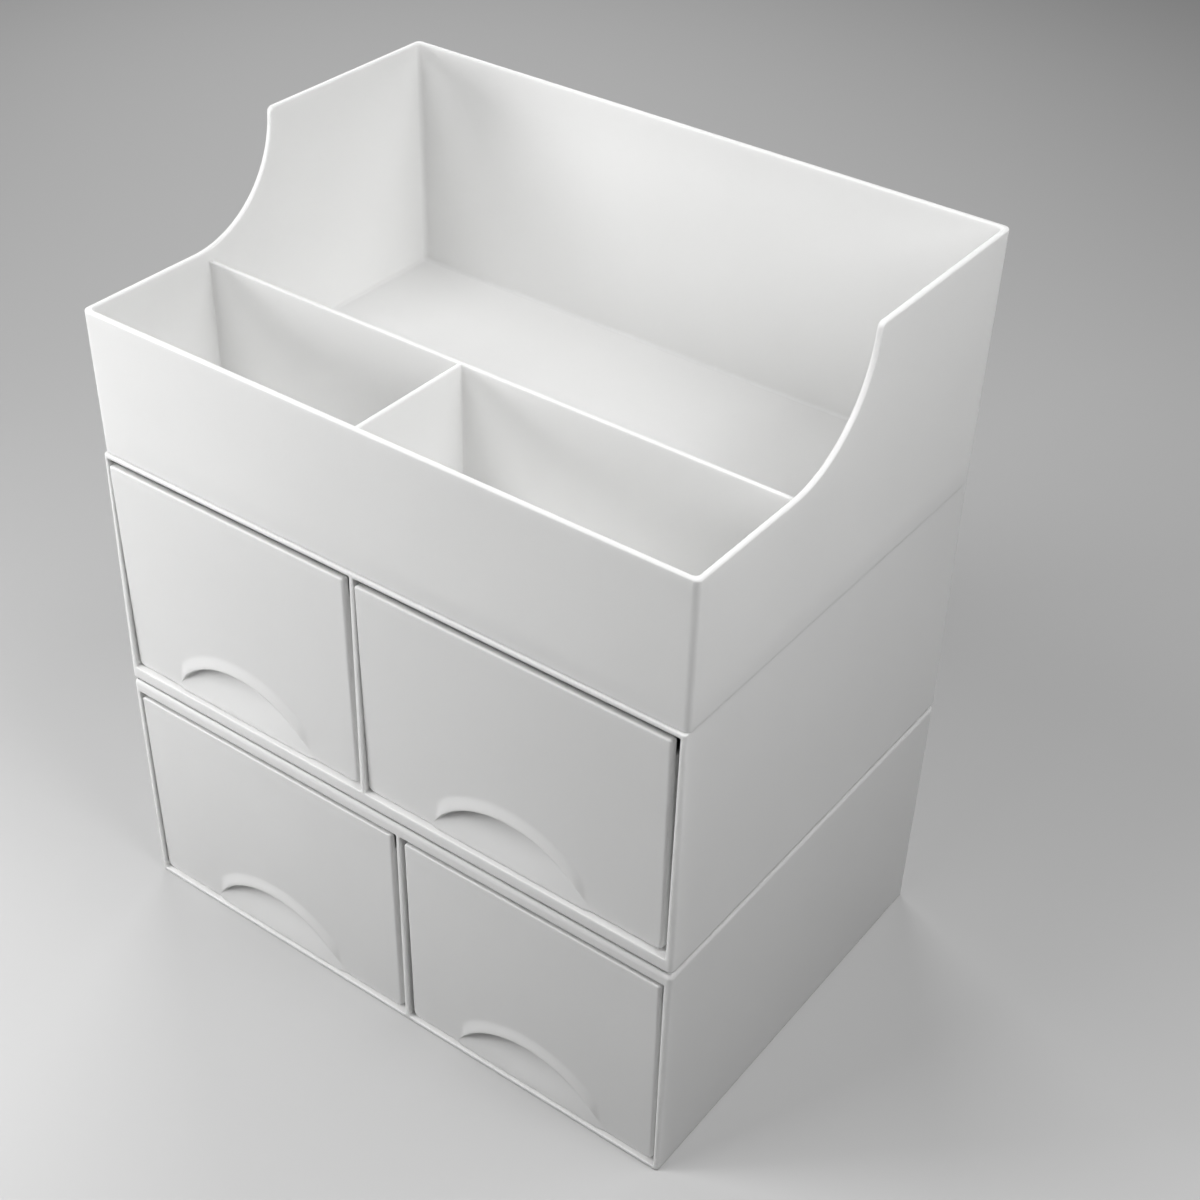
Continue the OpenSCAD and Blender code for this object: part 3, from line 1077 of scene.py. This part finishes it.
@dataclass(frozen=True)
class Studio:
    """Pale floor, soft lamps, plain surroundings and the camera.

    Attributes:
        floor_seen: colour of the floor as the camera sees it.
        floor_bounce: colour with which the floor lights the object.
        sky: strength of the surroundings' light.
        sky_seen: brightness of the surroundings as the camera sees them.
        eye: place of the camera.
        right: the picture's right, in the frame.
        down: the picture's downward direction, in the frame.
        focal: focal length over the picture's width.
        sensor: width of the camera's sensor in millimetres.
    """

    floor_seen: float = 0.56
    floor_bounce: float = 0.22
    sky: float = 0.03
    sky_seen: float = 0.85
    eye: Point = (0.37698, -0.48752, 0.60926)
    right: Point = (0.80445708, 0.5934891, 0.02488973)
    down: Point = (0.3705164, -0.46859154, -0.80195983)
    focal: float = 1998.443 / 1200
    sensor: float = 36.0

    def set_up(self) -> None:
        """Builds the floor, lamps, surroundings and camera."""
        self._floor()
        self._surroundings()
        for lamp in LAMPS:
            lamp.light()
        self._camera()
        bpy.context.scene.view_settings.view_transform = "Standard"

    def _floor(self) -> None:
        """Large pale floor, which keeps the object's shadow."""
        half = 6.0
        corners = [(-half, -half, 0), (half, -half, 0), (half, half, 0), (-half, half, 0)]
        mesh = bpy.data.meshes.new("floor")
        mesh.from_pydata(corners, [], [(0, 1, 2, 3)])
        floor = bpy.data.objects.new("floor", mesh)
        bpy.context.scene.collection.objects.link(floor)
        material = bpy.data.materials.new("pale_floor")
        material.use_nodes = True
        tree = material.node_tree
        tree.nodes.remove(tree.nodes["Principled BSDF"])
        seen = tree.nodes.new("ShaderNodeBsdfDiffuse")
        seen.inputs["Color"].default_value = (self.floor_seen,) * 3 + (1,)
        bounce = tree.nodes.new("ShaderNodeBsdfDiffuse")
        bounce.inputs["Color"].default_value = (self.floor_bounce,) * 3 + (1,)
        self._by_ray(tree, bounce, seen, tree.nodes["Material Output"])
        mesh.materials.append(material)

    @staticmethod
    def _by_ray(tree: bpy.types.NodeTree, for_light: bpy.types.Node, for_eye: bpy.types.Node,
                end: bpy.types.Node) -> None:
        """Shows one shader to the camera and to gloss, and the other to the light."""
        path = tree.nodes.new("ShaderNodeLightPath")
        either = tree.nodes.new("ShaderNodeMath")
        either.operation = "MAXIMUM"
        mix = tree.nodes.new("ShaderNodeMixShader")
        tree.links.new(path.outputs["Is Camera Ray"], either.inputs[0])
        tree.links.new(path.outputs["Is Glossy Ray"], either.inputs[1])
        tree.links.new(either.outputs[0], mix.inputs["Fac"])
        tree.links.new(for_light.outputs[0], mix.inputs[1])
        tree.links.new(for_eye.outputs[0], mix.inputs[2])
        tree.links.new(mix.outputs[0], end.inputs["Surface"])

    def _surroundings(self) -> None:
        """Even pale surroundings."""
        world = bpy.data.worlds.new("studio")
        bpy.context.scene.world = world
        world.use_nodes = True
        tree = world.node_tree
        light = tree.nodes["Background"]
        light.inputs["Strength"].default_value = self.sky
        light.inputs["Color"].default_value = (1, 1, 1, 1)
        seen = tree.nodes.new("ShaderNodeBackground")
        seen.inputs["Color"].default_value = (1, 1, 1, 1)
        seen.inputs["Strength"].default_value = self.sky_seen
        self._by_ray(tree, light, seen, tree.nodes["World Output"])

    def _camera(self) -> None:
        """Camera at the photograph's place and angle."""
        data = bpy.data.cameras.new("camera")
        data.sensor_width = self.sensor
        data.lens = self.sensor * self.focal
        data.clip_start = 0.01
        data.clip_end = 50.0
        camera = bpy.data.objects.new("camera", data)
        bpy.context.scene.collection.objects.link(camera)
        right, up = Vector(self.right), -Vector(self.down)
        turn = Matrix((right, up, right.cross(up))).transposed()
        camera.matrix_world = Matrix.Translation(self.eye) @ turn.to_4x4()
        bpy.context.scene.camera = camera


@dataclass(frozen=True)
class Berth:
    """Place of a drawer in its bay.

    Attributes:
        cabinet: the cabinet that holds it.
        side: the side of the partition on which its bay lies.
        gap: gap at its left end.
        play: difference between the widths of the bay and the drawer.
        lift: height of the drawer above the panel under it.
    """

    cabinet: Cabinet
    side: Side
    gap: float = 0.5
    play: float = 3.5
    lift: float = 0.1

    def drawer(self, node: str, finish: MouldedPlastic, head: float) -> Drawer:
        """Drawer that fits the bay.

        Args:
            node: name of the CAD node and of its body.
            finish: the plastic it is made of.
            head: thickness of its front at the top.

        Returns:
            The drawer, with its width and place.
        """
        left, right = self.cabinet.room(self.side)
        width = right - left - self.play
        return Drawer(node, finish, left + self.gap + width / 2, self.cabinet.panel_top + self.lift, width,
                      head=head)


def mouldings() -> list[Moulding]:
    """The seven pieces, from the table upwards.

    Returns:
        The pieces, each with its sizes and finish.
    """
    lower = Cabinet("lower_cabinet", MouldedPlastic("white_lower_cabinet", seed=1.0), channel=(1.0, 0.9, 2.4))
    upper = Cabinet("upper_cabinet", MouldedPlastic("white_upper_cabinet", seed=2.0), wide_edge=0.3,
                    relief=(1.1, 1.6), stands_wide=True, base=lower.height)
    caddy = Caddy("top_caddy", MouldedPlastic("white_caddy", seed=3.0), base=upper.base + upper.height)
    thin, thick = 2.2, 3.0
    drawers = (
        ("drawer_lower_left", Berth(lower, Side.LEFT), thin),
        ("drawer_lower_right", Berth(lower, Side.RIGHT, gap=1.7), thin),
        ("drawer_upper_left", Berth(upper, Side.LEFT), thick),
        ("drawer_upper_right", Berth(upper, Side.RIGHT), thick),
    )
    pieces: list[Moulding] = [lower, upper, caddy]
    for number, (node, berth, head) in enumerate(drawers):
        finish = MouldedPlastic("white_drawer_" + "abcd"[number], seed=4.0 + number)
        pieces.append(berth.drawer(node, finish, head))
    return pieces


def main() -> None:
    """Builds and dresses every piece and the studio."""
    logging.basicConfig(level=logging.INFO, format="%(message)s")
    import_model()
    for moulding in mouldings():
        piece = moulding.build()
        moulding.dress(piece)
        LOG.info("%s: %d faces", piece.name, len(piece.data.polygons))
    Studio().set_up()


if __name__ == "__main__":
    main()
